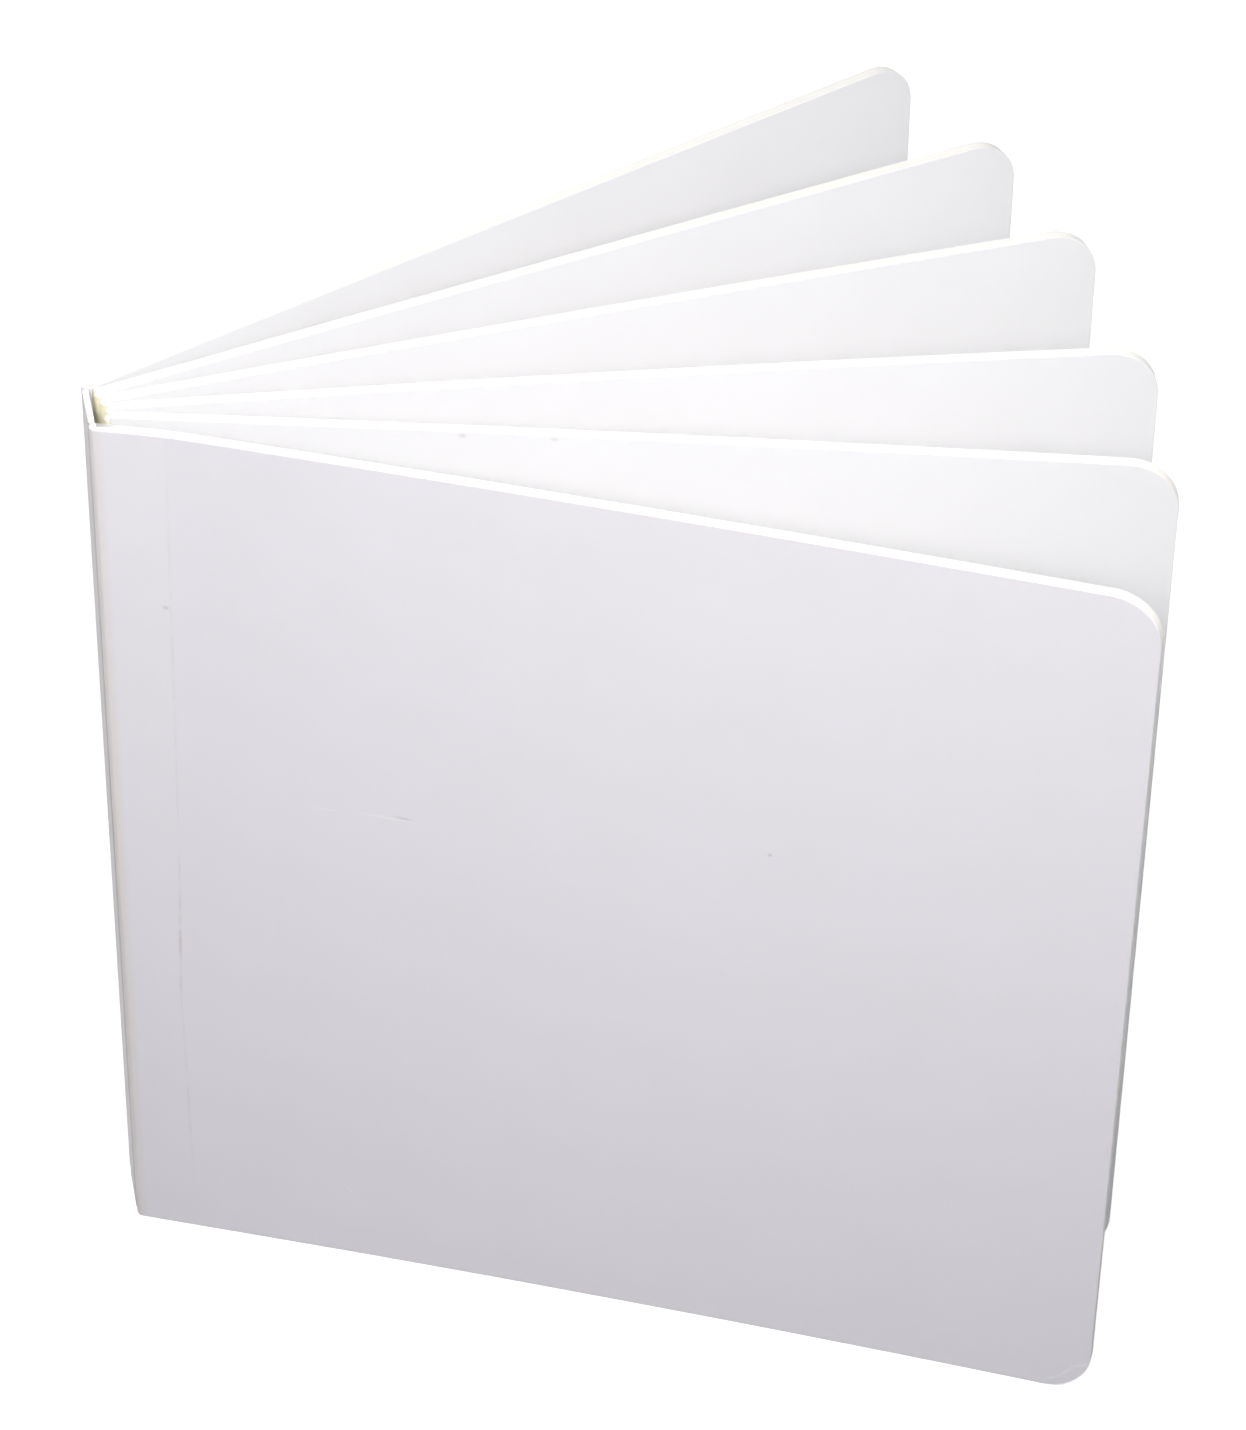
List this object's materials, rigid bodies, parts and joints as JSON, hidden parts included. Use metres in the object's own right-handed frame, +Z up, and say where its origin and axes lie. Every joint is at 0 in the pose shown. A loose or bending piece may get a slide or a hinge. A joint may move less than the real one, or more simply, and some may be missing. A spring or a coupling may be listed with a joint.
{
  "type": "board book",
  "caption": "Blank white board book with thick square pages and rounded fore-edge corners, standing fanned open; both covers swing.",
  "frame": {"origin": "on the ground under the middle of the standing book's plan box", "axes": "+X from the spine towards the fore-edge along the middle of the fan, +Y towards the back cover, +Z up"},
  "size_m": [0.1546, 0.1455, 0.1524],
  "materials": {
    "page_board": "satin",
    "cover_board": "satin",
    "spine_board": "satin"
  },
  "bodies": {
    "book_block": {"pages": "page_board", "spine": "spine_board"},
    "front_board": {"front_cover": "cover_board"},
    "back_board": {"back_cover": "cover_board"}
  },
  "joints": [
    {"name": "front_cover_hinge", "type": "hinge", "parent": "book_block", "child": "front_board", "pos_m": [-0.07633, -0.00556, 0], "axis": [0, 0, 1], "range_deg": [-153.8, 10.5]},
    {"name": "back_cover_hinge", "type": "hinge", "parent": "book_block", "child": "back_board", "pos_m": [-0.07624, 0.00495, 0], "axis": [0, 0, -1], "range_deg": [-153.9, 8.8]}
  ]
}
